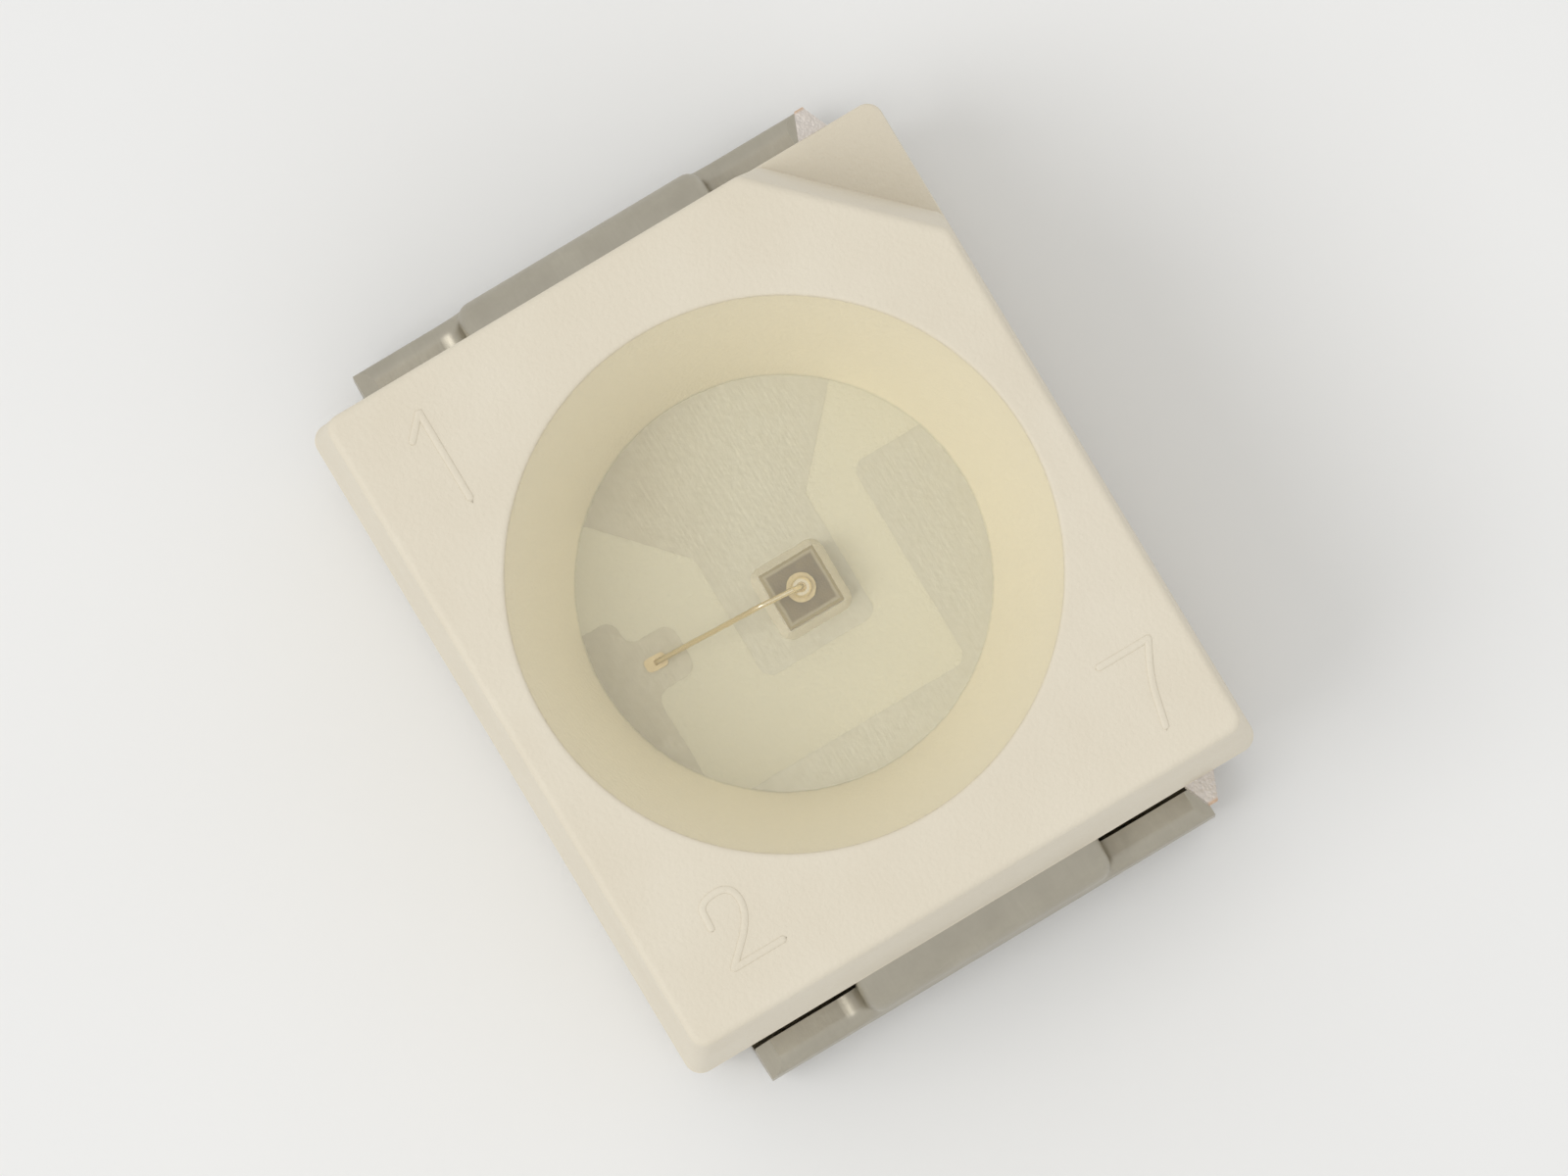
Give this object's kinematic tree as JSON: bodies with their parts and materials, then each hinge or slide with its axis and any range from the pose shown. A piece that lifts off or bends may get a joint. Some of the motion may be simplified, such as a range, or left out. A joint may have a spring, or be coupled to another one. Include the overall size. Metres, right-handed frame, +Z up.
{
  "type": "smd led",
  "caption": "Surface-mount LED: white moulded body with a resin-filled round reflector cup, two J-bent leads tucked under it and a bevelled corner marking the cathode.",
  "frame": {"origin": "middle of the footprint, on the solder plane that both feet rest on", "axes": "+X along the lead axis from the cathode (bevelled corner, -X) to the anode (+X), +Y across the body towards the bevelled corner's side, +Z up out of the cup"},
  "size_m": [0.0036, 0.0028, 0.0019],
  "materials": {
    "moulded_plastic": "white polyphthalamide, satin, slightly yellowed",
    "clear_resin": "clear pale yellow epoxy, smooth, slightly hollow top",
    "lead_metal": "silver-plated copper alloy, satin",
    "die": "dark olive semiconductor, polished",
    "die_glue": "silver-filled epoxy, dull grey",
    "contact_metal": "gold contact, satin",
    "gold_wire": "drawn gold, bright"
  },
  "bodies": {
    "root": {"housing": "moulded_plastic", "encapsulant": "clear_resin", "cathode_lead": "lead_metal", "anode_lead": "lead_metal", "support_bar_cathode_end": "lead_metal", "support_bar_anode_end": "lead_metal", "led_chip": "die", "die_attach": "die_glue", "bond_pad": "contact_metal", "bond_wire": "gold_wire"}
  },
  "joints": []
}
